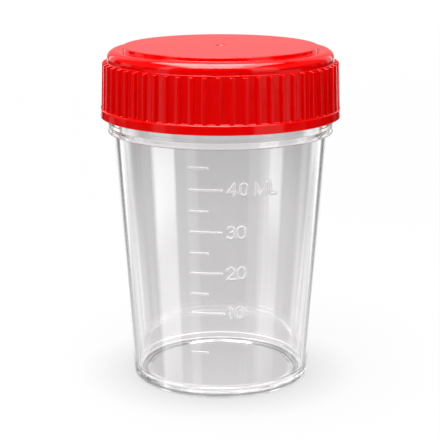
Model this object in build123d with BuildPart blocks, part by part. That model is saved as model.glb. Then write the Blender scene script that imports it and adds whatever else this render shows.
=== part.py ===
from build123d import *
import os
from math import cos, pi, radians, sin

os.makedirs("parts", exist_ok=True)

# Urine specimen cup with a screw cap. Millimetres, +Z up along the cup's axis,
# origin on the axis in the plane the foot stands on. -Y is the graduated front.

# ---------------------------------------------------------------- dimensions
# cup body
BASE_R = 17.86            # outer cone radius where it would meet the ground
TAPER = 0.06792           # growth of the outer radius per mm of height (3.9 degrees)
FOOT_FILLET = 0.87        # outer bottom edge
FOOT_INNER_R = 15.75      # the underside is hollowed inside this radius
FOOT_DEPTH = 0.27
FLOOR_Z = 1.26            # top of the floor
FLOOR_FILLET = 1.67       # inside corner between floor and wall
WALL_LOW = 1.19           # wall thickness near the floor
WALL_HIGH = 0.88          # and under the collar
COLLAR_Z = 50.70          # underside of the collar
COLLAR_R = 22.60
COLLAR_TOP_Z = 54.85
COLLAR_EDGE = 0.18
BEAD = 0.26               # the collar's lower edge is a bead with a sloping face,
BEAD_LOW_Z = 51.00        # which is full width here
BEAD_Z = 52.10            # and starts from a fine step here
NECK_R = 21.60
NECK_BORE_R = 20.66       # at the rim
RIM_Z = 64.95
RIM_ROUND = 0.30

# screw thread, one start, right-handed
LEAD = 4.00               # rise per turn
THREAD_ROOT_W = 1.50
THREAD_CREST_W = 0.70
CUP_CREST_R = 22.00
CUP_THREAD_Z = 57.20      # middle of the ridge at its lower end
CUP_THREAD_TURNS = 1.45
CAP_CREST_R = 21.70
THREAD_GAP = 0.22         # along the axis, between the flanks when closed
CAP_THREAD_TURNS = 1.30

# screw cap
TOP_Z = 67.58
DISC_FLAT_R = 18.90       # flat of the raised disc
DISC_R = 19.36            # and its edge
DISC_EDGE_Z = 67.53
DISC_FOOT_R = 19.46       # where its steep side meets the groove
GROOVE_Z = 66.80
SHOULDER_R = 20.80        # where the shoulder starts to turn down
SHOULDER_Z = 66.86
WALL_R = 22.51            # plain wall between shoulder and ribs
SHOULDER_FILLET = 1.70
RIB_COUNT = 58
RIB_W = 0.84
RIB_TOP_Z = 64.62         # rib roots start here
RIB_TOP_OUT_Z = 64.32     # and their outer edge here
RIB_R_HIGH = 23.44
RIB_R_LOW = 23.74
RIB_PHASE = -1.15         # degrees from the front centre
GAP_R_HIGH = 22.66
GAP_R_LOW = 22.98
FLANGE_TOP_Z = 55.60
FLANGE_R_HIGH = 23.86
FLANGE_R = 24.00
FLANGE_Z = 53.76          # bottom of the cap
FLANGE_EDGE = 0.12
MOUTH_R = 22.76           # counterbore that comes down over the collar
MOUTH_Z = 55.10
BORE_R = 22.08
SEAT_R = 21.86            # recess that holds the wad
SEAT_START_Z = 64.20
UNDERSIDE_Z = 65.80

# gate mark in the middle of the disc
DISH_R = 1.80
DISH_DEPTH = 0.06
PIT_R = 0.92
PIT_DEPTH = 0.26
NUB_R = 0.30

# sealing wad
WAD_R = 21.70
WAD_LOW_Z = RIM_Z + 0.03
WAD_HIGH_Z = UNDERSIDE_Z - 0.03
WAD_EDGE = 0.12

# graduations, raised on the front wall: millilitres and height of each line
MARKS = [
    (5, 9.72),
    (10, 17.90),
    (15, 21.88),
    (20, 26.07),
    (25, 30.12),
    (30, 34.34),
    (35, 38.47),
    (40, 42.64),
    (45, 46.96),
]
RAISE = 0.15              # how far the marks stand out of the wall
TICK_W = 0.60             # width of the lines
STROKE = 0.42             # and of the strokes of digits and letters
TICK_LEFT_LOW = -5.60     # left end of the lowest line
TICK_LEFT_HIGH = -6.10    # and of the highest
SHORT_RIGHT = -2.28
DIGIT_H = 2.70
# for each numbered line: right end, how far the digits sit above it, and the two edges of the nought
NUMBERED = {
    10: (0.88, 0.20, 2.82, 4.68),
    20: (0.42, 0.08, 3.10, 4.94),
    30: (0.30, 0.02, 3.00, 4.92),
    40: (0.43, 0.20, 3.46, 5.22),
}


def wall_r(z):
    """Outer radius of the cup's wall at height z."""
    return BASE_R + TAPER * z


def inside_r(z):
    """Inner radius of the cup's wall at height z."""
    part_way = (z - FLOOR_Z) / (COLLAR_Z - FLOOR_Z)
    return wall_r(z) - WALL_LOW - (WALL_HIGH - WALL_LOW) * part_way


def bowl(cx, cy, rx, ry, a0, a1, n=9):
    """Points along an elliptic arc, from angle a0 to a1 in degrees."""
    steps = [radians(a0 + (a1 - a0) * k / n) for k in range(n + 1)]
    return [(cx + rx * cos(a), cy + ry * sin(a)) for a in steps]


# ---------------------------------------------------------------- cup body
with BuildPart() as cup_body:
    with BuildSketch(Plane.XZ) as cup_half:
        with BuildLine():
            Polyline(
                (0, FOOT_DEPTH),
                (FOOT_INNER_R - 1.50, FOOT_DEPTH),
                (FOOT_INNER_R, 0),
                (wall_r(0), 0),
                (wall_r(COLLAR_Z), COLLAR_Z),
                (COLLAR_R, COLLAR_Z),
                (COLLAR_R, BEAD_LOW_Z),
                (COLLAR_R - BEAD, BEAD_Z),
                (COLLAR_R, BEAD_Z + 0.06),
                (COLLAR_R - 0.02, COLLAR_TOP_Z),
                (NECK_R, COLLAR_TOP_Z),
                (NECK_R, RIM_Z),
                (NECK_BORE_R, RIM_Z),
                (inside_r(COLLAR_Z), COLLAR_Z),
                (inside_r(FLOOR_Z), FLOOR_Z),
                (0, FLOOR_Z),
                close=True,
            )
        make_face()
        corners = cup_half.vertices()
        fillet(
            corners.filter_by(
                lambda v: abs(v.X - wall_r(0)) < 0.01 and abs(v.Z) < 0.01
            ),
            FOOT_FILLET,
        )
        fillet(
            cup_half.vertices().filter_by(
                lambda v: abs(v.X - COLLAR_R) < 0.01 and abs(v.Z - COLLAR_Z) < 0.01
            ),
            COLLAR_EDGE,
        )
        fillet(
            cup_half.vertices().filter_by(
                lambda v: abs(v.X - COLLAR_R) < 0.08 and abs(v.Z - COLLAR_TOP_Z) < 0.01
            ),
            0.15,
        )
        fillet(
            cup_half.vertices().filter_by(lambda v: abs(v.Z - RIM_Z) < 0.01),
            RIM_ROUND,
        )
        fillet(
            cup_half.vertices().filter_by(
                lambda v: abs(v.X - inside_r(FLOOR_Z)) < 0.01 and abs(v.Z - FLOOR_Z) < 0.01
            ),
            FLOOR_FILLET,
        )
    revolve(axis=Axis.Z)

cup_solid = cup_body.part

# ---------------------------------------------------------------- thread on the neck
with BuildPart() as neck_thread:
    with BuildLine() as neck_helix:
        Helix(
            pitch=LEAD,
            height=LEAD * CUP_THREAD_TURNS,
            radius=NECK_R,
            center=(0, 0, CUP_THREAD_Z),
        )
    with BuildSketch(
        Plane(
            origin=(NECK_R, 0, CUP_THREAD_Z), x_dir=(1, 0, 0), z_dir=(0, -1, 0)
        )
    ):
        with BuildLine():
            Polyline(
                (-0.30, -THREAD_ROOT_W / 2 - 0.2),
                (0, -THREAD_ROOT_W / 2),
                (CUP_CREST_R - NECK_R, -THREAD_CREST_W / 2),
                (CUP_CREST_R - NECK_R, THREAD_CREST_W / 2),
                (0, THREAD_ROOT_W / 2),
                (-0.30, THREAD_ROOT_W / 2 + 0.2),
                close=True,
            )
        make_face()
    sweep(path=neck_helix.line, is_frenet=True)

# ---------------------------------------------------------------- graduations
with BuildPart() as marks:
    with BuildSketch(Plane.XZ.offset(wall_r(10) - 4.0)) as ticks:
        for amount, z in MARKS:
            part_way = (z - MARKS[0][1]) / (MARKS[-1][1] - MARKS[0][1])
            left = TICK_LEFT_LOW + (TICK_LEFT_HIGH - TICK_LEFT_LOW) * part_way
            right = SHORT_RIGHT if amount % 10 else NUMBERED[amount][0]
            with Locations(((left + right) / 2, z)):
                SlotOverall(right - left, TICK_W)
    extrude(amount=10)
    for amount, (right, up, zero_left, zero_right) in NUMBERED.items():
        z = dict(MARKS)[amount] + up
        h = DIGIT_H - STROKE
        y0, y1 = z - h / 2, z + h / 2
        if amount == 10:
            points = [(1.60, y1 - 0.36), (2.05, y1), (2.05, y0)]
        elif amount == 20:
            points = bowl(1.98, y1 - 0.66, 0.70, 0.66, 165, -35) + [(1.26, y0), (2.84, y0)]
        elif amount == 30:
            points = bowl(1.95, y1 - 0.235 * h, 0.60, 0.235 * h, 150, -80)
            points += bowl(1.92, y0 + 0.265 * h, 0.68, 0.265 * h, 85, -150)
        else:
            bar = y0 + 0.28 * h
            points = [(2.90, bar), (1.36, bar), (2.55, y1), (2.55, y0)]
        with BuildSketch(Plane.XZ.offset(wall_r(10) - 4.0)) as digits:
            with BuildLine() as stroke_lines:
                Polyline(*points)
            trace(line_width=STROKE)
            with Locations(((zero_left + zero_right) / 2, z)):
                SlotOverall(DIGIT_H, zero_right - zero_left, rotation=90)
                SlotOverall(
                    DIGIT_H - 2 * STROKE,
                    zero_right - zero_left - 2 * STROKE,
                    rotation=90,
                    mode=Mode.SUBTRACT,
                )
        extrude(amount=10)
    letters_z = dict(MARKS)[40] + NUMBERED[40][1]
    y0, y1 = letters_z - DIGIT_H / 2 + STROKE / 2, letters_z + DIGIT_H / 2 - STROKE / 2
    with BuildSketch(Plane.XZ.offset(wall_r(10) - 4.0)) as letter_m:
        with BuildLine():
            Polyline((6.64, y0), (6.64, y1), (7.68, y0), (8.72, y1), (8.72, y0))
        trace(line_width=STROKE)
    extrude(amount=10)
    with BuildSketch(Plane.XZ.offset(wall_r(10) - 4.0)) as letter_l:
        with BuildLine():
            Polyline((9.43, y1), (9.43, y0), (10.56, y0))
        trace(line_width=STROKE)
    extrude(amount=10)

# a thin conical skin that follows the wall trims the marks to their height
with BuildPart() as mark_skin:
    with BuildSketch(Plane.XZ):
        with BuildLine():
            Polyline(
                (wall_r(5) - 0.30, 5),
                (wall_r(5) + RAISE, 5),
                (wall_r(50) + RAISE, 50),
                (wall_r(50) - 0.30, 50),
                close=True,
            )
        make_face()
    revolve(axis=Axis.Z)

marks_solid = marks.part & mark_skin.part
cup_whole = cup_solid + neck_thread.part + marks_solid
cup_whole = Part(cup_whole.solids()[0].wrapped) if len(cup_whole.solids()) == 1 else cup_whole
cup_whole.label = "cup_body"
export_step(cup_whole, "parts/cup_body.step")

# ---------------------------------------------------------------- screw cap
with BuildPart() as screw_cap:
    with BuildSketch(Plane.XZ) as cap_half:
        with BuildLine():
            Polyline(
                (0, TOP_Z - 0.06),
                (NUB_R * 0.6, TOP_Z - 0.06),
                (NUB_R, TOP_Z - PIT_DEPTH),
                (PIT_R - 0.25, TOP_Z - PIT_DEPTH),
                (PIT_R, TOP_Z - DISH_DEPTH),
                (DISH_R, TOP_Z),
                (DISC_FLAT_R, TOP_Z),
                (DISC_R, DISC_EDGE_Z),
                (DISC_FOOT_R, GROOVE_Z),
                (SHOULDER_R, SHOULDER_Z),
                (WALL_R, SHOULDER_Z - 0.06),
                (WALL_R, RIB_TOP_Z),
                (GAP_R_HIGH, RIB_TOP_Z),
                (GAP_R_LOW, FLANGE_TOP_Z),
                (FLANGE_R_HIGH, FLANGE_TOP_Z),
                (FLANGE_R, FLANGE_Z),
                (MOUTH_R, FLANGE_Z),
                (MOUTH_R, MOUTH_Z),
                (BORE_R, MOUTH_Z),
                (BORE_R, SEAT_START_Z),
                (SEAT_R, SEAT_START_Z + 0.25),
                (SEAT_R, UNDERSIDE_Z),
                (0, UNDERSIDE_Z),
                close=True,
            )
        make_face()

        def near(x, z):
            return cap_half.vertices().filter_by(
                lambda v: abs(v.X - x) < 0.01 and abs(v.Z - z) < 0.01
            )

        fillet(near(DISC_R, DISC_EDGE_Z), 0.14)
        fillet(near(DISC_FOOT_R, GROOVE_Z), 0.12)
        fillet(near(SHOULDER_R, SHOULDER_Z), 0.60)
        fillet(near(WALL_R, SHOULDER_Z - 0.06), SHOULDER_FILLET)
        fillet(near(FLANGE_R_HIGH, FLANGE_TOP_Z), 0.25)
        fillet(near(FLANGE_R, FLANGE_Z), FLANGE_EDGE)
        fillet(near(MOUTH_R, FLANGE_Z), 0.12)
    revolve(axis=Axis.Z)
    with BuildSketch(Plane.XY.offset(FLANGE_TOP_Z - 0.2)) as rib_low:
        with PolarLocations(0, RIB_COUNT, start_angle=RIB_PHASE - 90):
            with Locations(((RIB_R_LOW + 22.4) / 2, 0)):
                Rectangle(RIB_R_LOW - 22.4, RIB_W)
    extrude(amount=RIB_TOP_Z - FLANGE_TOP_Z + 0.2)

# the ribs lean inwards a little towards the top and end in a small slope
with BuildPart() as rib_envelope:
    with BuildSketch(Plane.XZ):
        with BuildLine():
            Polyline(
                (0, 50),
                (30, 50),
                (30, FLANGE_TOP_Z),
                (RIB_R_LOW, FLANGE_TOP_Z),
                (RIB_R_HIGH, RIB_TOP_OUT_Z),
                (WALL_R, RIB_TOP_Z),
                (WALL_R, 70),
                (0, 70),
                close=True,
            )
        make_face()
    revolve(axis=Axis.Z)

# thread inside the cap: its ridge lies just under the ridge on the neck
CAP_THREAD_Z = CUP_THREAD_Z - (THREAD_ROOT_W + THREAD_CREST_W) / 2 - THREAD_GAP
with BuildPart() as cap_thread:
    with BuildLine() as cap_helix:
        Helix(
            pitch=LEAD,
            height=LEAD * CAP_THREAD_TURNS,
            radius=BORE_R,
            center=(0, 0, CAP_THREAD_Z + LEAD * 0.45),
        )
    with BuildSketch(
        Plane(
            origin=(BORE_R, 0, CAP_THREAD_Z + LEAD * 0.45),
            x_dir=(1, 0, 0),
            z_dir=(0, -1, 0),
        )
    ):
        with BuildLine():
            Polyline(
                (0.25, -THREAD_ROOT_W / 2 - 0.15),
                (0, -THREAD_ROOT_W / 2),
                (CAP_CREST_R - BORE_R, -THREAD_CREST_W / 2),
                (CAP_CREST_R - BORE_R, THREAD_CREST_W / 2),
                (0, THREAD_ROOT_W / 2),
                (0.25, THREAD_ROOT_W / 2 + 0.15),
                close=True,
            )
        make_face()
    sweep(path=cap_helix.line, is_frenet=True)

# the ridge starts 0.45 of a turn further on, so it still lies in the neck's groove
cap_ridge = cap_thread.part.rotate(Axis.Z, 360 * 0.45)
cap_whole = (screw_cap.part & rib_envelope.part) + cap_ridge
cap_whole.label = "screw_cap"
export_step(cap_whole, "parts/screw_cap.step")

# ---------------------------------------------------------------- sealing wad
with BuildPart() as seal_liner:
    with BuildSketch(Plane.XY.offset(WAD_LOW_Z)):
        Circle(WAD_R)
    extrude(amount=WAD_HIGH_Z - WAD_LOW_Z)
    fillet(seal_liner.edges().filter_by(GeomType.CIRCLE), WAD_EDGE)

seal_liner.part.label = "seal_liner"
export_step(seal_liner.part, "parts/seal_liner.step")
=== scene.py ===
import math

import bpy
import numpy as np
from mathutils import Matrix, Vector


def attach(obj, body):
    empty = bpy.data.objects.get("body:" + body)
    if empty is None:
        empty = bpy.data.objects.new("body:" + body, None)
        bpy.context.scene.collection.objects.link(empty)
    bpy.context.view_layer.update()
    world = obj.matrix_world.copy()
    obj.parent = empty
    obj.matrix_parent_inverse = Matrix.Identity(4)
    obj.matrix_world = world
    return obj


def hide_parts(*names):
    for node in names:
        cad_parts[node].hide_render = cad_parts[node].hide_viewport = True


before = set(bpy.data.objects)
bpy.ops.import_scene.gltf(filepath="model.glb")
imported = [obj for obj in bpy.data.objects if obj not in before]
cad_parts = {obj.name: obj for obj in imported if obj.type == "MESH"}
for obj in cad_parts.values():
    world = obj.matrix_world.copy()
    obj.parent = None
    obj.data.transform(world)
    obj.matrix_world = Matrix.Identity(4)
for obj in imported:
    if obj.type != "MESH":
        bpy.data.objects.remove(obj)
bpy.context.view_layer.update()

scene = bpy.context.scene
MM = 0.001

# ------------------------------------------------------------------ camera
# Seen from the front, 14 degrees down, at the distance that gives the same perspective.
cam_data = bpy.data.cameras.new("camera")
cam_data.sensor_width = 36.0
cam_data.lens = 115.27
cam_data.clip_start, cam_data.clip_end = 0.01, 20.0
cam = bpy.data.objects.new("camera", cam_data)
scene.collection.objects.link(cam)
cam.location = (-0.00011, -0.27877, 0.10144)
cam.rotation_euler = (math.radians(90 - 14.006), 0, 0)
scene.camera = cam
scene.view_settings.view_transform = "Standard"
scene.cycles.max_bounces = 28
scene.cycles.transmission_bounces = 28
scene.cycles.glossy_bounces = 10
scene.cycles.transparent_max_bounces = 28
scene.cycles.diffuse_bounces = 5
scene.cycles.caustics_refractive = False
scene.cycles.caustics_reflective = False


# ------------------------------------------------------------------ mesh tools
def rounded(points):
    """Points (r, z[, fillet radius[, segments]]) of a half profile, with each corner rounded and a support
    point near both ends of every straight run."""
    out = []
    n = len(points)
    for i, p in enumerate(points):
        r, z = p[0], p[1]
        rad = p[2] if len(p) > 2 else 0.0
        seg = p[3] if len(p) > 3 else 5
        here = np.array([r, z], float)
        if rad <= 0 or i in (0, n - 1):
            out.append([here])
            continue
        a = np.array(points[i - 1][:2], float) - here
        b = np.array(points[i + 1][:2], float) - here
        a /= np.linalg.norm(a)
        b /= np.linalg.norm(b)
        half = math.acos(max(-1, min(1, float(a @ b)))) / 2
        if half > math.radians(89.5):
            out.append([here])
            continue
        cut = rad / math.tan(half)
        centre = here + (a + b) / np.linalg.norm(a + b) * (rad / math.sin(half))
        start, end = here + a * cut - centre, here + b * cut - centre
        t0, t1 = math.atan2(start[1], start[0]), math.atan2(end[1], end[0])
        turn = (t1 - t0 + math.pi) % (2 * math.pi) - math.pi
        out.append(
            [
                centre + rad * np.array([math.cos(t0 + turn * k / seg), math.sin(t0 + turn * k / seg)])
                for k in range(seg + 1)
            ]
        )
    pts = []
    for i, arc in enumerate(out):
        if i:
            prev, first = out[i - 1][-1], arc[0]
            run = np.linalg.norm(first - prev)
            if run > 0.25:
                unit = (first - prev) / run
                pts += [prev + unit * 0.05, first - unit * 0.05]
        pts += arc
    return np.array(pts)


def refine(profile, spans, step):
    """Adds points to a profile so that no run inside the given height spans is longer than step."""
    out = [profile[0]]
    for p, q in zip(profile[:-1], profile[1:]):
        length = np.linalg.norm(q - p)
        cuts = {1.0}
        for low, high in spans:
            z0, z1 = p[1], q[1]
            if abs(z1 - z0) < 1e-9:
                continue
            t_low, t_high = sorted(((low - z0) / (z1 - z0), (high - z0) / (z1 - z0)))
            t_low, t_high = max(0.0, t_low), min(1.0, t_high)
            if t_high <= t_low:
                continue
            n = max(1, int(math.ceil((t_high - t_low) * length / step)))
            cuts |= {t_low + (t_high - t_low) * k / n for k in range(n + 1)}
        last = 0.0
        for t in sorted(c for c in cuts if c > 1e-6):
            if (t - last) * length > 0.3 * min(step, length):
                out.append(p + (q - p) * t)
                last = t
            elif t == 1.0:
                out[-1] = q if len(out) > 1 and last > 0 else out[-1]
                if last == 0:
                    out.append(q)
    return np.array(out)


def lathe(name, profile, theta, shape=None, masks=None):
    """A closed mesh turned round Z from a half profile in mm that starts and ends on the axis. shape(theta, r, z)
    gives the real radius and height of each point, and its slopes give the normals."""
    theta = np.asarray(theta, float)
    r, z = profile[1:-1, 0], profile[1:-1, 1]
    length = np.concatenate([[0], np.cumsum(np.linalg.norm(np.diff(profile, axis=0), axis=1))])
    inner = length[1:-1]

    def place(t, s):
        rr = np.interp(s, length, profile[:, 0])
        zz = np.interp(s, length, profile[:, 1])
        if shape:
            rr, zz = shape(t, rr, zz)
        return np.stack([rr * np.cos(t), rr * np.sin(t), zz], -1)

    t, s = np.meshgrid(theta, inner)
    at = place(t, s)
    small, turn = 0.012, 0.0006
    along = place(t, s + small) - place(t, s - small)
    around = place(t + turn, s) - place(t - turn, s)
    normal = np.cross(around, along)
    normal /= np.maximum(np.linalg.norm(normal, axis=-1, keepdims=True), 1e-12)
    m, n = at.shape[:2]
    verts = np.concatenate([[[0, 0, profile[0, 1]]], at.reshape(-1, 3), [[0, 0, profile[-1, 1]]]])
    first, last = 0, len(verts) - 1
    idx = 1 + np.arange(m * n).reshape(m, n)
    nxt = np.roll(idx, -1, axis=1)
    quads = np.stack([idx[:-1], nxt[:-1], nxt[1:], idx[1:]], -1).reshape(-1, 4)
    faces = [tuple(q) for q in quads.tolist()]
    faces += [(first, int(b), int(a)) for a, b in zip(idx[0], nxt[0])]
    faces += [(last, int(a), int(b)) for a, b in zip(idx[-1], nxt[-1])]
    mesh = bpy.data.meshes.new(name)
    mesh.from_pydata((verts * MM).tolist(), [], faces)
    mesh.validate()
    # which way the rows run decides which way the faces look
    tris = np.array([f[:3] for f in faces])
    v = verts[tris]
    signed = float(np.einsum("ij,ij->", v[:, 0], np.cross(v[:, 1], v[:, 2])))
    q4 = verts[quads]
    signed += float(np.einsum("ij,ij->", q4[:, 0], np.cross(q4[:, 2], q4[:, 3])))
    face_normal = np.cross(q4[:, 1] - q4[:, 0], q4[:, 3] - q4[:, 0])
    if signed < 0:
        mesh.flip_normals()
        face_normal = -face_normal
    same = np.einsum("ij,ij->i", face_normal, normal.reshape(-1, 3)[quads[:, 0] - 1]).sum()
    if same < 0:
        normal = -normal
    up = 1.0 if face_normal[:n, 2].sum() > 0 else -1.0
    end_up = 1.0 if face_normal[-n:, 2].sum() > 0 else -1.0
    every = np.concatenate([[[0, 0, up]], normal.reshape(-1, 3), [[0, 0, end_up]]])
    for poly in mesh.polygons:
        poly.use_smooth = True
    mesh.normals_split_custom_set_from_vertices(every.tolist())
    for key, fn in (masks or {}).items():
        layer = mesh.attributes.new(key, "FLOAT", "POINT")
        rr = np.interp(s, length, profile[:, 0])
        zz = np.interp(s, length, profile[:, 1])
        value = fn(t, rr, zz)
        layer.data.foreach_set(
            "value", np.concatenate([[0], value.reshape(-1), [0]]).astype(np.float32)
        )
    obj = bpy.data.objects.new(name, mesh)
    scene.collection.objects.link(obj)
    return obj


def ease(x):
    x = np.clip(x, 0, 1)
    return x * x * (3 - 2 * x)


# ------------------------------------------------------------------ cup
BASE_R, TAPER = 17.86, 0.06792
WALL_LOW, WALL_HIGH = 1.19, 0.88
FLOOR_Z, FLOOR_FILLET = 1.26, 1.67
FOOT_INNER_R, FOOT_DEPTH = 15.75, 0.27
COLLAR_Z, COLLAR_R, COLLAR_TOP_Z = 50.70, 22.60, 54.85
BEAD, BEAD_LOW_Z, BEAD_Z = 0.26, 51.00, 52.10
NECK_R, NECK_BORE_R, RIM_Z = 21.60, 20.66, 64.95
LEAD = 4.0


def wall_r(z):
    return BASE_R + TAPER * z


def inside_r(z):
    return wall_r(z) - WALL_LOW - (WALL_HIGH - WALL_LOW) * (z - FLOOR_Z) / (COLLAR_Z - FLOOR_Z)


def helix_ridge(theta, z, start_turn, turns, z0, height, root_w, crest_w):
    """Height of a helical ridge over its wall at each point, faded out over its ends."""
    out = np.zeros_like(z)
    base = np.mod(theta, 2 * math.pi) / (2 * math.pi)
    for k in range(4):
        t = base + k
        centre = z0 + LEAD * t
        d = np.abs(z - centre)
        flank = ease((root_w / 2 - d) / ((root_w - crest_w) / 2))
        ends = ease((t - start_turn) / 0.035) * ease((start_turn + turns - t) / 0.035)
        out = np.maximum(out, height * flank * ends)
    return out


MARKS = [(5, 9.72), (10, 17.90), (15, 21.88), (20, 26.07), (25, 30.12), (30, 34.34), (35, 38.47), (40, 42.64), (45, 46.96)]
TICK_W, STROKE, RAISE = 0.60, 0.42, 0.17
DIGIT_H = 2.70
# for each numbered line: right end, how far the digits sit above it, and the two edges of the nought
NUMBERED = {10: (0.88, 0.20, 2.82, 4.68), 20: (0.42, 0.08, 3.10, 4.94), 30: (0.30, 0.02, 3.00, 4.92), 40: (0.43, 0.20, 3.46, 5.22)}


def arc(cx, cy, rx, ry, a0, a1, n=10):
    return [
        (cx + rx * math.cos(math.radians(a0 + (a1 - a0) * k / n)), cy + ry * math.sin(math.radians(a0 + (a1 - a0) * k / n)))
        for k in range(n + 1)
    ]


def mark_lines():
    """Stroke width and centre line of every stroke, as (x, z) polylines in mm, on the front of the cup."""
    lines = []
    for amount, z in MARKS:
        part_way = (z - MARKS[0][1]) / (MARKS[-1][1] - MARKS[0][1])
        left = -5.60 - 0.50 * part_way + TICK_W / 2
        if amount % 10:
            lines.append((TICK_W, [(left, z), (-2.28 - TICK_W / 2, z)]))
            continue
        right, up, zero_left, zero_right = NUMBERED[amount]
        lines.append((TICK_W, [(left, z), (right - TICK_W / 2, z)]))
        h = DIGIT_H - STROKE
        y0, y1 = z + up - h / 2, z + up + h / 2
        if amount == 10:
            lines.append((STROKE, [(1.60, y1 - 0.36), (2.05, y1), (2.05, y0)]))
        elif amount == 20:
            lines.append((STROKE, arc(1.98, y1 - 0.66, 0.70, 0.66, 165, -35) + [(1.26, y0), (2.84, y0)]))
        elif amount == 30:
            bowls = arc(1.95, y1 - 0.235 * h, 0.60, 0.235 * h, 150, -80) + arc(1.92, y0 + 0.265 * h, 0.68, 0.265 * h, 85, -150)
            lines.append((STROKE, bowls))
        else:
            bar = y0 + 0.28 * h
            lines.append((STROKE, [(2.90, bar), (1.36, bar), (2.55, y1), (2.55, y0)]))
        rx = (zero_right - zero_left - STROKE) / 2
        xc = (zero_left + zero_right) / 2
        lines.append((STROKE, arc(xc, y1 - rx, rx, rx, 0, 180) + arc(xc, y0 + rx, rx, rx, 180, 360) + [(xc + rx, y1 - rx)]))
    right, up, zero_left, zero_right = NUMBERED[40]
    z = MARKS[7][1] + up
    y0, y1 = z - DIGIT_H / 2 + STROKE / 2, z + DIGIT_H / 2 - STROKE / 2
    lines.append((STROKE, [(6.64, y0), (6.64, y1), (7.68, y0), (8.72, y1), (8.72, y0)]))
    lines.append((STROKE, [(9.43, y1), (9.43, y0), (10.56, y0)]))
    return lines


MARK_LINES = mark_lines()


def mark_distance(theta, z):
    """Distance in mm from each point of the wall to the nearest stroke's edge, negative inside the stroke."""
    x = wall_r(z) * np.sin(theta + math.pi / 2)
    best = np.full(x.shape, 9.0)
    front = np.cos(theta + math.pi / 2) > 0.6
    for width, line in MARK_LINES:
        pts = np.array(line)
        lo, hi = pts.min(0) - 0.7, pts.max(0) + 0.7
        near = front & (x > lo[0]) & (x < hi[0]) & (z > lo[1]) & (z < hi[1])
        if not near.any():
            continue
        px, pz = x[near], z[near]
        d = np.full(px.shape, 9.0)
        for a, b in zip(pts[:-1], pts[1:]):
            ab = b - a
            t = np.clip(((px - a[0]) * ab[0] + (pz - a[1]) * ab[1]) / max(float(ab @ ab), 1e-9), 0, 1)
            d = np.minimum(d, np.hypot(px - a[0] - ab[0] * t, pz - a[1] - ab[1] * t))
        best[near] = np.minimum(best[near], d - width / 2)
    return best


def is_outer_wall(r, z):
    return r > (wall_r(z) + inside_r(z)) / 2


def cup_shape(theta, r, z):
    outer = is_outer_wall(r, z) & (z > 8.0) & (z < 49.5)
    out = r.copy()
    if outer.any():
        d = mark_distance(theta, z)
        out = np.where(outer, r + RAISE * ease((0.04 - d) / 0.13), out)
    neck = (z > COLLAR_TOP_Z + 0.2) & (z < RIM_Z - 0.35) & (r > NECK_R - 0.05)
    if neck.any():
        ridge = helix_ridge(theta, z, 0.0, 1.45, 57.20, 0.40, 1.50, 0.70)
        out = np.where(neck, r + ridge, out)
    return out, z


# how far each point of a raised mark turns to white diffuse plastic: frosting, and a painted highlight along the
# stroke edges
def frost_and_painted_edge_highlight(theta, r, z):
    outer = is_outer_wall(r, z) & (z > 8.0) & (z < 49.5)
    d = mark_distance(theta, z)
    return np.where(outer, np.maximum(ease(1.3 - np.abs(d + 0.03) / 0.11), 0.65 * ease(-d / 0.06)), 0.0)


cup_profile = rounded(
    [
        (0, FOOT_DEPTH),
        (FOOT_INNER_R - 1.50, FOOT_DEPTH, 0.39, 8),
        (FOOT_INNER_R, 0.0, 0.25, 5),
        (wall_r(0), 0.0, 0.87, 14),
        (wall_r(COLLAR_Z), COLLAR_Z, 0.10, 4),
        (COLLAR_R, COLLAR_Z, 0.18, 5),
        (COLLAR_R, BEAD_LOW_Z, 0.30, 3),
        (COLLAR_R - BEAD, BEAD_Z, 0.04, 3),
        (COLLAR_R, BEAD_Z + 0.06, 0.04, 3),
        (COLLAR_R - 0.02, COLLAR_TOP_Z, 0.15, 4),
        (NECK_R, COLLAR_TOP_Z, 0.12, 3),
        (NECK_R, RIM_Z, 0.30, 6),
        (NECK_BORE_R, RIM_Z, 0.30, 6),
        (inside_r(COLLAR_Z), COLLAR_Z, 3.0, 5),
        (inside_r(FLOOR_Z), FLOOR_Z, FLOOR_FILLET, 14),
        (0, FLOOR_Z),
    ]
)
spans = [(z - 0.42, z + 0.42) for _, z in MARKS]
digit_spans = [(z + NUMBERED[a][1] - 1.50, z + NUMBERED[a][1] + 1.50) for a, z in MARKS if a % 10 == 0]
outer_run = int(np.argmax(cup_profile[:, 0] > COLLAR_R - 0.5))
body_part = cup_profile[: outer_run + 1]
rest_part = cup_profile[outer_run:]
body_part = refine(body_part, spans, 0.078)
body_part = refine(body_part, digit_spans, 0.135)
body_part = refine(body_part, [(2, 50.6)], 1.6)
neck_end = int(np.argmax(rest_part[:, 1] > RIM_Z - 0.29))
neck_part = refine(rest_part[: neck_end + 1], [(56.2, 64.2)], 0.24)
cup_profile = np.concatenate([body_part[:-1], neck_part, rest_part[neck_end + 1 :]])
inner_from = int(np.argmax((cup_profile[:, 1] < RIM_Z - 0.5) & (np.arange(len(cup_profile)) > np.argmax(cup_profile[:, 1]))))
tail = refine(cup_profile[inner_from:], [(4.3, 64.4)], 4.0)
cup_profile = np.concatenate([cup_profile[:inner_from], tail])


def columns(fine):
    """Angles round the axis, in radians from +X, with fine steps in the given spans of degrees from the front."""
    out, a = [], -180.0
    while a < 180.0 - 1e-6:
        out.append(a)
        step = 1.8
        for low, high, size in fine:
            if low - 1e-6 <= a < high:
                step = min(step, size)
            elif a < low < a + step:
                step = min(step, low - a)
        a += step
    if 180.0 - out[-1] < 0.2:
        out.pop()
    return np.radians(np.array(out) - 90.0)


cup_theta = columns([(-17.6, 15.6, 0.36), (17.0, 31.0, 0.38), (-19.5, -17.6, 0.8), (15.6, 17.0, 0.7), (31.0, 33.0, 0.8)])
cup = lathe("cup_moulding", cup_profile, cup_theta, cup_shape, {"frost_and_painted_edge_highlight": frost_and_painted_edge_highlight})
print("cup", len(cup.data.vertices), "vertices,", len(cup.data.polygons), "faces")

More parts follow.
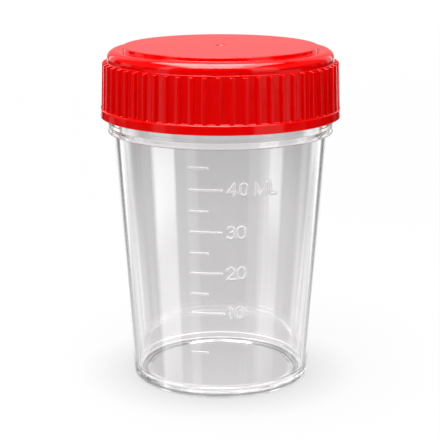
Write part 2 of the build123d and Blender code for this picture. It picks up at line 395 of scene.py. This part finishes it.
# ------------------------------------------------------------------ cap
TOP_Z, RIBS, RIB_PHASE = 67.58, 58, -1.15
RIB_TOP_Z, RIB_TOP_OUT_Z = 64.62, 64.32
RIB_R_HIGH, RIB_R_LOW = 23.44, 23.74
FLANGE_TOP_Z, FLANGE_Z, FLANGE_R = 55.60, 53.76, 24.00
WALL_R = 22.51
RIB_HALF = math.degrees(0.42 / 23.5)


def rib_mask(theta):
    pitch = 360.0 / RIBS
    a = np.mod(np.degrees(theta) + 90.0 - RIB_PHASE + pitch / 2, pitch) - pitch / 2
    return ease((RIB_HALF + 0.17 - np.abs(a)) / 0.34)


def rib_radius(z):
    low = RIB_R_LOW + (RIB_R_HIGH - RIB_R_LOW) * (z - FLANGE_TOP_Z) / (RIB_TOP_OUT_Z - FLANGE_TOP_Z)
    slope = WALL_R + (RIB_R_HIGH - WALL_R) * (RIB_TOP_Z - z) / (RIB_TOP_Z - RIB_TOP_OUT_Z)
    return np.where(z > RIB_TOP_Z, 0.0, np.minimum(low, slope))


def cap_shape(theta, r, z):
    outside = (r > 22.45) & (z > FLANGE_TOP_Z - 0.02) & (z < RIB_TOP_Z + 0.02)
    reach = np.maximum(0.0, rib_radius(z) - r)
    out = np.where(outside, r + rib_mask(theta) * reach, r)
    bore = (r < 22.12) & (r > 22.0) & (z > 55.3) & (z < 64.0)
    if bore.any():
        ridge = helix_ridge(theta, z, 0.45, 1.30, 55.88, 0.38, 1.50, 0.70)
        out = np.where(bore, r - ridge, out)
    return out, z


cap_profile = rounded(
    [
        (0, TOP_Z - 0.06),
        (0.16, TOP_Z - 0.06, 0.05, 3),
        (0.30, TOP_Z - 0.26, 0.06, 3),
        (0.67, TOP_Z - 0.26, 0.10, 3),
        (0.92, TOP_Z - 0.06, 0.08, 3),
        (1.80, TOP_Z, 0.60, 3),
        (18.90, TOP_Z, 0.60, 3),
        (19.36, 67.53, 0.14, 6),
        (19.46, 66.80, 0.12, 5),
        (20.80, 66.86, 0.60, 4),
        (WALL_R, 66.80, 1.70, 16),
        (WALL_R, RIB_TOP_Z, 0.03, 2),
        (22.66, RIB_TOP_Z - 0.02, 0.06, 3),
        (22.98, FLANGE_TOP_Z, 0.15, 4),
        (23.86, FLANGE_TOP_Z, 0.28, 6),
        (FLANGE_R, FLANGE_Z, 0.12, 5),
        (22.76, FLANGE_Z, 0.12, 4),
        (22.76, 55.10, 0.10, 3),
        (22.08, 55.10, 0.10, 3),
        (22.08, 64.20, 0.10, 3),
        (21.86, 64.45, 0.10, 3),
        (21.86, 65.80, 0.25, 4),
        (0, 65.80),
    ]
)
cap_profile = refine(cap_profile, [(64.28, 64.66)], 0.07)
cap_profile = refine(cap_profile, [(55.3, 64.2)], 1.6)
split = int(np.argmin(cap_profile[:, 1] + (cap_profile[:, 0] < 23) * 100))
inside = refine(cap_profile[split:], [(55.2, 64.1)], 0.30)
cap_profile = np.concatenate([cap_profile[:split], inside])
# rings on the broad top, so that its shading grid stays even
ring_rows = []
for i, p in enumerate(cap_profile):
    if i and abs(p[1] - cap_profile[i - 1][1]) < 0.02 and abs(p[0] - cap_profile[i - 1][0]) > 3:
        gap = p[0] - cap_profile[i - 1][0]
        n = max(1, int(abs(gap) // 3.2))
        ring_rows += [cap_profile[i - 1] + (p - cap_profile[i - 1]) * k / n for k in range(1, n)]
    ring_rows.append(p)
cap_profile = np.array(ring_rows)
pitch = 360.0 / RIBS
offsets = np.array([-0.50, -0.36]) * pitch
edge = [RIB_HALF + d for d in (0.18, 0.09, 0.0, -0.09, -0.18)]
local = sorted(set([round(float(o), 4) for o in offsets] + [round(-e, 4) for e in edge] + [0.0] + [round(e, 4) for e in edge] + [round(float(-o), 4) for o in offsets[1:]]))
cap_theta = np.radians(np.concatenate([np.array(local) + RIB_PHASE + pitch * k for k in range(RIBS)]) - 90.0)
cap = lathe("cap_moulding", cap_profile, cap_theta, cap_shape)
print("cap", len(cap.data.vertices), "vertices,", len(cap.data.polygons), "faces", len(local), "columns a rib")

# ------------------------------------------------------------------ sealing wad
wad_profile = rounded(
    [
        (0, 64.98),
        (21.70, 64.98, 0.16, 5),
        (21.70, 65.77, 0.16, 5),
        (0, 65.77),
    ]
)


def wad_shape(theta, r, z):
    # the rim presses a shallow ring into the soft face
    dent = 0.05 * np.exp(-(((r - 21.22) / 0.30) ** 2))
    return r, np.where(z < 65.3, z + dent, z)


extra = [np.array([x, 64.98]) for x in (4, 8, 12, 16, 19, 20.2, 20.7, 20.95, 21.1, 21.22, 21.35)]
wad_profile = np.concatenate([wad_profile[:1], extra, wad_profile[2:]])
wad = lathe("foam_wad", wad_profile, np.radians(np.arange(0, 360, 2.0)), wad_shape)


# ------------------------------------------------------------------ node helpers
def new_material(name):
    mat = bpy.data.materials.new(name)
    mat.use_nodes = True
    nt = mat.node_tree
    nt.nodes.clear()
    return mat, nt


def add(nt, kind, **values):
    node = nt.nodes.new(kind)
    for key, value in values.items():
        if hasattr(node, key) and key not in node.inputs:
            setattr(node, key, value)
        else:
            node.inputs[key].default_value = value
    return node


def math_node(nt, op, a, b=None, clamp=False):
    node = nt.nodes.new("ShaderNodeMath")
    node.operation = op
    node.use_clamp = clamp
    for i, v in enumerate((a, b)):
        if v is None:
            continue
        if isinstance(v, (int, float)):
            node.inputs[i].default_value = v
        else:
            nt.links.new(v, node.inputs[i])
    return node.outputs[0]


def ramp(nt, value, low, high, out_low=0.0, out_high=1.0, smooth=True):
    node = nt.nodes.new("ShaderNodeMapRange")
    node.interpolation_type = "SMOOTHSTEP" if smooth else "LINEAR"
    node.clamp = True
    nt.links.new(value, node.inputs["Value"])
    for key, v in (("From Min", low), ("From Max", high), ("To Min", out_low), ("To Max", out_high)):
        node.inputs[key].default_value = v
    return node.outputs["Result"]


# ------------------------------------------------------------------ clear polystyrene
def clear_material():
    mat, nt = new_material("clear_polystyrene")
    link = nt.links.new
    out = add(nt, "ShaderNodeOutputMaterial")
    body = add(nt, "ShaderNodeBsdfPrincipled")
    body.inputs["Base Color"].default_value = (1.0, 0.990, 0.997, 1)
    body.inputs["IOR"].default_value = 1.57
    body.inputs["Transmission Weight"].default_value = 1.0
    coords = add(nt, "ShaderNodeTexCoord")
    mask = add(nt, "ShaderNodeAttribute")
    mask.attribute_name = "frost_and_painted_edge_highlight"
    # moulded gloss: faint smears in the polish, and a fine texture on the raised marks
    smear = add(nt, "ShaderNodeTexNoise")
    smear.inputs["Scale"].default_value = 90.0
    smear.inputs["Detail"].default_value = 3.0
    link(coords.outputs["Object"], smear.inputs["Vector"])
    base_rough = ramp(nt, smear.outputs["Fac"], 0.45, 0.8, 0.0, 0.035)
    marks_rough = math_node(nt, "MULTIPLY", mask.outputs["Fac"], 0.32)
    rough = math_node(nt, "ADD", base_rough, marks_rough, clamp=True)
    # the underside and the foot are spark-textured in the mould
    height = add(nt, "ShaderNodeSeparateXYZ")
    link(coords.outputs["Object"], height.inputs[0])
    rough = math_node(nt, "ADD", rough, ramp(nt, height.outputs["Z"], 0.0007, 0.0012, 0.07, 0.0), clamp=True)
    link(rough, body.inputs["Roughness"])
    # the raised marks turn partly to white diffuse plastic, most along their edges: frosted plastic, and partly a
    # painted highlight along each stroke's edges
    link(math_node(nt, "SUBTRACT", 1.0, math_node(nt, "MULTIPLY", mask.outputs["Fac"], 0.28)), body.inputs["Transmission Weight"])
    # slow flow waves left by the moulding
    flow = add(nt, "ShaderNodeTexNoise")
    flow.inputs["Scale"].default_value = 45.0
    flow.inputs["Detail"].default_value = 1.0
    stretch = add(nt, "ShaderNodeMapping")
    stretch.inputs["Scale"].default_value = (1.0, 1.0, 0.25)
    link(coords.outputs["Object"], stretch.inputs["Vector"])
    link(stretch.outputs["Vector"], flow.inputs["Vector"])
    bump = add(nt, "ShaderNodeBump")
    bump.inputs["Strength"].default_value = 0.05
    bump.inputs["Distance"].default_value = 0.0004
    link(flow.outputs["Fac"], bump.inputs["Height"])
    link(bump.outputs["Normal"], body.inputs["Normal"])
    # light from lamps passes the walls, so that the cup throws a pale shadow
    path = add(nt, "ShaderNodeLightPath")
    clear = add(nt, "ShaderNodeBsdfTransparent")
    clear.inputs["Color"].default_value = (0.94, 0.945, 0.95, 1)
    soft = math_node(nt, "MAXIMUM", path.outputs["Is Shadow Ray"], path.outputs["Is Diffuse Ray"])
    # light caught in a wall for many bounces leaks out through the plastic instead of dying there
    soft = math_node(nt, "MAXIMUM", soft, math_node(nt, "GREATER_THAN", path.outputs["Ray Depth"], 7.5))
    mix = add(nt, "ShaderNodeMixShader")
    link(soft, mix.inputs[0])
    link(body.outputs[0], mix.inputs[1])
    link(clear.outputs[0], mix.inputs[2])
    link(mix.outputs[0], out.inputs["Surface"])
    return mat


# ------------------------------------------------------------------ red polyethylene
def red_material():
    mat, nt = new_material("red_polyethylene")
    link = nt.links.new
    out = add(nt, "ShaderNodeOutputMaterial")
    body = add(nt, "ShaderNodeBsdfPrincipled")
    body.inputs["IOR"].default_value = 1.50
    body.inputs["Subsurface Weight"].default_value = 0.0
    coords = add(nt, "ShaderNodeTexCoord")
    cloud = add(nt, "ShaderNodeTexNoise")
    cloud.inputs["Scale"].default_value = 60.0
    cloud.inputs["Detail"].default_value = 2.0
    link(coords.outputs["Object"], cloud.inputs["Vector"])
    colour = add(nt, "ShaderNodeValToRGB")
    colour.color_ramp.elements[0].position = 0.3
    colour.color_ramp.elements[0].color = (0.64, 0.0003, 0.0003, 1)
    colour.color_ramp.elements[1].position = 0.7
    colour.color_ramp.elements[1].color = (0.71, 0.0005, 0.0005, 1)
    link(cloud.outputs["Fac"], colour.inputs["Fac"])
    link(colour.outputs["Color"], body.inputs["Base Color"])
    grain = add(nt, "ShaderNodeTexNoise")
    grain.inputs["Scale"].default_value = 900.0
    grain.inputs["Detail"].default_value = 3.0
    link(coords.outputs["Object"], grain.inputs["Vector"])
    link(ramp(nt, grain.outputs["Fac"], 0.3, 0.7, 0.06, 0.10), body.inputs["Roughness"])
    wave = add(nt, "ShaderNodeTexNoise")
    wave.inputs["Scale"].default_value = 260.0
    link(coords.outputs["Object"], wave.inputs["Vector"])
    bump = add(nt, "ShaderNodeBump")
    bump.inputs["Strength"].default_value = 0.10
    bump.inputs["Distance"].default_value = 0.0002
    link(wave.outputs["Fac"], bump.inputs["Height"])
    link(bump.outputs["Normal"], body.inputs["Normal"])
    link(body.outputs[0], out.inputs["Surface"])
    return mat


# ------------------------------------------------------------------ foam
def foam_material():
    mat, nt = new_material("white_foam")
    link = nt.links.new
    out = add(nt, "ShaderNodeOutputMaterial")
    body = add(nt, "ShaderNodeBsdfPrincipled")
    coords = add(nt, "ShaderNodeTexCoord")
    cells = add(nt, "ShaderNodeTexVoronoi")
    cells.inputs["Scale"].default_value = 2600.0
    link(coords.outputs["Object"], cells.inputs["Vector"])
    tone = add(nt, "ShaderNodeValToRGB")
    tone.color_ramp.elements[0].color = (0.78, 0.78, 0.75, 1)
    tone.color_ramp.elements[1].color = (0.90, 0.90, 0.87, 1)
    link(cells.outputs["Distance"], tone.inputs["Fac"])
    link(tone.outputs["Color"], body.inputs["Base Color"])
    link(ramp(nt, cells.outputs["Distance"], 0.0, 0.6, 0.85, 0.6), body.inputs["Roughness"])
    bump = add(nt, "ShaderNodeBump")
    bump.inputs["Strength"].default_value = 0.4
    bump.inputs["Distance"].default_value = 0.00006
    link(cells.outputs["Distance"], bump.inputs["Height"])
    link(bump.outputs["Normal"], body.inputs["Normal"])
    link(body.outputs[0], out.inputs["Surface"])
    return mat


cup.data.materials.append(clear_material())
cap.data.materials.append(red_material())
wad.data.materials.append(foam_material())
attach(cup, "cup")
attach(cap, "cap")
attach(wad, "wad")
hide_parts("cup_body")
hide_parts("screw_cap")
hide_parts("seal_liner")

# ------------------------------------------------------------------ floor
floor_mesh = bpy.data.meshes.new("floor")
floor_mesh.from_pydata([(-6, -6, 0), (6, -6, 0), (6, 6, 0), (-6, 6, 0)], [], [(0, 1, 2, 3)])
floor = bpy.data.objects.new("floor", floor_mesh)
scene.collection.objects.link(floor)
# clear plastic is lit by the studio all round, as on a raised stand, so the floor doesn't show in it
floor.visible_glossy = False
floor.visible_transmission = False
mat, nt = new_material("pale_floor")
out = add(nt, "ShaderNodeOutputMaterial")
pale = add(nt, "ShaderNodeBsdfDiffuse")
pale.inputs["Color"].default_value = (0.06, 0.06, 0.0605, 1)
glow = add(nt, "ShaderNodeEmission")
glow.inputs["Color"].default_value = (1, 1, 1, 1)
# the floor glows (emission, no lamp) to stay white, with painted shade: the glow is a little lower near the cup and
# dimmed by a painted contact shadow under whatever stands close over it
coords = add(nt, "ShaderNodeTexCoord")
reach = add(nt, "ShaderNodeVectorMath", operation="LENGTH")
nt.links.new(coords.outputs["Object"], reach.inputs[0])
# painted shade: the glow stays at 0.88 out to 15 cm from the cup and rises to 1.02 at 85 cm
glow_painted_darker_near_cup = ramp(nt, reach.outputs["Value"], 0.15, 0.85, 0.880, 1.02, smooth=False)
# painted contact shadow: ambient occlusion within 12 mm dims the floor's glow under and beside the cup
near = add(nt, "ShaderNodeAmbientOcclusion")
near.samples = 16
near.inputs["Distance"].default_value = 0.012
level = math_node(nt, "MULTIPLY", glow_painted_darker_near_cup, ramp(nt, near.outputs["AO"], 0.0, 1.0, 0.64, 1.0, smooth=False))
nt.links.new(level, glow.inputs["Strength"])
both = add(nt, "ShaderNodeAddShader")
nt.links.new(pale.outputs[0], both.inputs[0])
nt.links.new(glow.outputs[0], both.inputs[1])
nt.links.new(both.outputs[0], out.inputs["Surface"])
floor_mesh.materials.append(mat)

# ------------------------------------------------------------------ studio light
world = bpy.data.worlds.new("studio")
scene.world = world
world.use_nodes = True
nt = world.node_tree
nt.nodes.clear()
link = nt.links.new
out = add(nt, "ShaderNodeOutputWorld")
coords = add(nt, "ShaderNodeTexCoord")
split_xyz = add(nt, "ShaderNodeSeparateXYZ")
link(coords.outputs["Generated"], split_xyz.inputs[0])
dx, dy, dz = split_xyz.outputs
azimuth = math_node(nt, "MULTIPLY", math_node(nt, "ARCTAN2", dx, math_node(nt, "MULTIPLY", dy, -1.0)), 180 / math.pi)
elevation = math_node(nt, "MULTIPLY", math_node(nt, "ARCSINE", dz), 180 / math.pi)
around = math_node(nt, "ABSOLUTE", azimuth)


# how much a direction belongs to each of six belts of elevation, from the floor up
belt_edges = ((-30.0, -26.0), (-21.0, -15.0), (-15.0, -9.0), (-6.0, -3.0), (12.0, 17.0), (44.0, 50.0))
rising = [ramp(nt, elevation, low, high) for low, high in belt_edges]
belts = [math_node(nt, "SUBTRACT", 1.0, rising[0])]
belts += [math_node(nt, "SUBTRACT", a, b) for a, b in zip(rising[:-1], rising[1:])]


def by_belt(levels):
    """One level for each belt, as a map over the elevation."""
    out = None
    for belt, level in zip(belts, levels):
        if level:
            part = math_node(nt, "MULTIPLY", belt, level)
            out = part if out is None else math_node(nt, "ADD", out, part)
    return out


def panel(az, half_az, edge_deg, levels):
    """A soft upright light panel, by its direction in degrees from the front, with a level for each belt."""
    off = math_node(nt, "ABSOLUTE", math_node(nt, "SUBTRACT", azimuth, az))
    across = ramp(nt, off, half_az + edge_deg / 2, half_az - edge_deg / 2)
    return math_node(nt, "MULTIPLY", across, by_belt(levels))


# the room: dim in front, grey at the sides and behind, and a white table low down
to_side = ramp(nt, around, 20.0, 75.0)
to_back = ramp(nt, around, 150.0, 160.0)
front_part = math_node(nt, "SUBTRACT", 1.0, to_side)
side_part = math_node(nt, "SUBTRACT", to_side, to_back)
total = math_node(nt, "MULTIPLY", front_part, by_belt((1.6, 0.0, 1.49, 0.0, 0.0, 0.0)))
total = math_node(nt, "ADD", total, math_node(nt, "MULTIPLY", side_part, by_belt((0.81, 0.51, 0.0, 0.0, 0.0, 0.15))))
total = math_node(nt, "ADD", total, math_node(nt, "MULTIPLY", to_back, by_belt((0.89, 0.93, 0.87, 0.62, 0.44, 0.5))))
for spec in (
    # azimuth from the front, half width, edge, level in each belt
    (-32.0, 7.0, 4.0, (0.83, 0.71, 0.33, 0.0, 0.0, 0.0)),
    (-45.0, 5.0, 3.0, (0.34, 0.19, 0.15, 0.0, 0.09, 0.0)),
    (-59.0, 7.0, 1.5, (0.0, 2.45, 2.8, 0.52, 0.44, 1.46)),
    (-74.0, 8.0, 2.0, (0.0, 2.45, 3.0, 0.34, 0.0, 0.0)),
    (-90.0, 7.0, 3.0, (0.58, 0.06, 0.59, 0.0, 0.13, 0.0)),
    (-109.0, 8.5, 3.0, (0.47, 0.19, 0.13, 0.0, 0.63, 0.0)),
    (-125.0, 6.0, 4.0, (0.14, 0.92, 1.02, 0.32, 0.0, 0.0)),
    (-140.0, 6.0, 3.0, (1.13, 0.5, 1.93, 0.07, 0.67, 0.45)),
    (-150.0, 3.5, 2.0, (0.26, 0.05, 0.0, 0.0, 1.6, 0.75)),
    (-165.0, 5.0, 4.0, (0.07, 0.12, 0.24, 1.07, 0.0, 0.0)),
    (30.0, 6.0, 3.0, (0.34, 0.0, 0.13, 0.0, 0.0, 0.0)),
    (46.0, 14.5, 2.0, (0.0, 0.5, 0.97, 0.12, 0.67, 1.5)),
    (49.0, 5.0, 2.0, (0.0, 0.4, 0.4, 0.0, 0.0, 0.0)),
    (57.0, 6.0, 2.0, (0.0, 0.8, 0.67, 0.0, 0.0, 0.0)),
    (67.0, 6.0, 2.0, (0.0, 1.08, 0.97, 0.54, 0.0, 0.16)),
    (80.0, 7.0, 4.0, (0.5, 0.34, 0.19, 0.49, 0.0, 0.0)),
    (93.0, 5.0, 3.0, (0.39, 0.24, 0.0, 0.0, 0.0, 0.0)),
    (105.5, 6.0, 4.0, (0.73, 0.73, 0.83, 0.0, 0.08, 0.0)),
    (125.0, 6.0, 4.0, (0.38, 0.9, 0.94, 0.0, 0.15, 0.0)),
    (140.0, 6.0, 3.0, (0.61, 0.67, 1.85, 0.09, 0.79, 0.5)),
    (150.0, 3.5, 2.0, (0.29, 0.0, 0.0, 0.0, 1.71, 0.6)),
    (165.0, 5.0, 4.0, (0.0, 0.15, 0.15, 1.37, 0.0, 0.0)),
):
    total = math_node(nt, "ADD", total, panel(*spec))
# the far edge of the table, a thin bright line low down behind
table_edge = math_node(nt, "MULTIPLY", ramp(nt, elevation, -32.5, -30.5), ramp(nt, elevation, -25.5, -27.5))
total = math_node(nt, "ADD", total, math_node(nt, "MULTIPLY", math_node(nt, "MULTIPLY", to_back, table_edge), 0.7))
# a low strip light on each side in front, which the wall mirrors near the collar
strip_rows = math_node(nt, "MULTIPLY", ramp(nt, elevation, -22.0, -20.0), ramp(nt, elevation, -16.0, -18.0))
for az, half_az, level in ((-66.0, 14.0, 1.8), (64.0, 8.0, 2.2)):
    off = math_node(nt, "ABSOLUTE", math_node(nt, "SUBTRACT", azimuth, az))
    strip = math_node(nt, "MULTIPLY", ramp(nt, off, half_az + 1.5, half_az - 1.5), level)
    total = math_node(nt, "ADD", total, math_node(nt, "MULTIPLY", strip, strip_rows))
# the top of the back wall, up to the overhead softbox
total = math_node(nt, "ADD", total, math_node(nt, "MULTIPLY", math_node(nt, "MULTIPLY", to_back, rising[5]), 0.55))
lit = add(nt, "ShaderNodeBackground")
link(total, lit.inputs["Strength"])
plain = add(nt, "ShaderNodeBackground")
plain.inputs["Color"].default_value = (1, 1, 1, 1)
plain.inputs["Strength"].default_value = 1.0
path = add(nt, "ShaderNodeLightPath")
mix = add(nt, "ShaderNodeMixShader")
link(path.outputs["Is Camera Ray"], mix.inputs[0])
link(lit.outputs[0], mix.inputs[1])
link(plain.outputs[0], mix.inputs[2])
link(mix.outputs[0], out.inputs["Surface"])


def area(name, location, target, size_x, size_y, radiance):
    """A rectangular softbox with a given radiance."""
    data = bpy.data.lights.new(name, "AREA")
    data.shape = "RECTANGLE"
    data.size, data.size_y = size_x, size_y
    data.energy = radiance * math.pi * size_x * size_y
    obj = bpy.data.objects.new(name, data)
    scene.collection.objects.link(obj)
    obj.location = location
    obj.rotation_mode = "QUATERNION"
    obj.rotation_quaternion = (Vector(target) - Vector(location)).to_track_quat("-Z", "Y")
    return obj


area("overhead", (-0.030, -0.085, 0.517), (-0.030, -0.085, 0.0), 0.546, 0.614, 4.6)
area("overhead_middle", (-0.055, -0.085, 0.515), (-0.055, -0.085, 0.0), 0.330, 0.614, 4.2)
